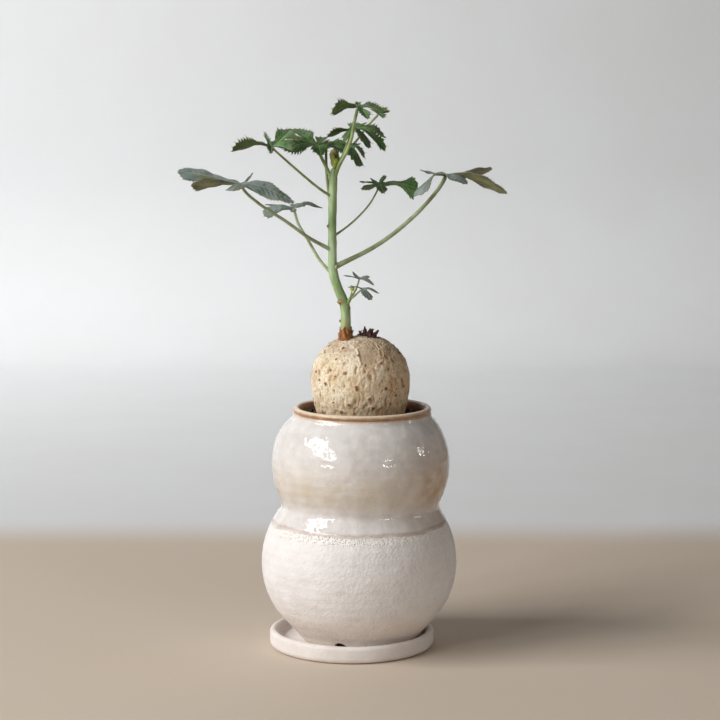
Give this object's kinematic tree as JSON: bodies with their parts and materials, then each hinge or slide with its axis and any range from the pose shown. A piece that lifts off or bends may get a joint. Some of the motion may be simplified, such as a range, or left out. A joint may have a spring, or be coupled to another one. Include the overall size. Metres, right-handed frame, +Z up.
{
  "type": "potted jatropha",
  "caption": "Globe-stemmed succulent in a small double-bulb stoneware pot on a saucer, with one green stem of lobed, toothed leaves on long stalks; stands on a table or shelf.",
  "frame": {"origin": "on the surface that the saucer stands on, under the middle of the pot's foot", "axes": "+Z up through the pot and the caudex, +X to the viewer's right in the picture, -Y towards the viewer"},
  "size_m": [0.1656, 0.1, 0.2818],
  "materials": {
    "saucer": "smooth matt warm white stoneware",
    "pot": "glossy speckled cream glaze over the upper globe, beaded edge, rough matt white lower globe",
    "soil": "loose dark potting mix of bark and grit",
    "drain net": "dark plastic mesh",
    "caudex": "matt cream to tan bark, finely wrinkled, with small red-brown warts",
    "old stump": "dry dark red-brown remains",
    "stem": "satin pale green, glaucous bloom",
    "bark collar": "papery orange-brown bark",
    "leaf stalk": "satin pale green, olive in the shade",
    "old blade": "matt grey-blue bloom above, olive below",
    "young blade": "matt mid green above, olive-brown below",
    "bud": "yellow-green, dark red-green at the folds"
  },
  "bodies": {
    "root": {"saucer": "saucer", "pot": "pot", "soil": "soil", "drain_net": "drain net", "caudex": "caudex", "old_stump": "old stump", "stem": "stem", "bark_collar": "bark collar", "leaf_1_stalk": "leaf stalk", "leaf_1_blade": "old blade", "leaf_2_stalk": "leaf stalk", "leaf_2_blade": "old blade", "leaf_3_stalk": "leaf stalk", "leaf_3_blade": "old blade", "leaf_4_stalk": "leaf stalk", "leaf_4_blade": "old blade", "leaf_5_stalk": "leaf stalk", "leaf_5_blade": "young blade", "leaf_6_stalk": "leaf stalk", "leaf_6_blade": "young blade", "leaf_7_stalk": "leaf stalk", "leaf_7_blade": "young blade", "leaf_8_stalk": "leaf stalk", "leaf_8_blade": "young blade", "leaf_9_stalk": "leaf stalk", "leaf_9_blade": "young blade", "leaf_10_stalk": "leaf stalk", "leaf_10_blade": "young blade", "leaf_11_stalk": "leaf stalk", "leaf_11_blade": "young blade", "side_shoot_stalks": "leaf stalk", "side_shoot_blade_1": "old blade", "side_shoot_blade_2": "old blade", "side_shoot_bud": "bud", "shoot_tip": "bud"}
  },
  "joints": []
}
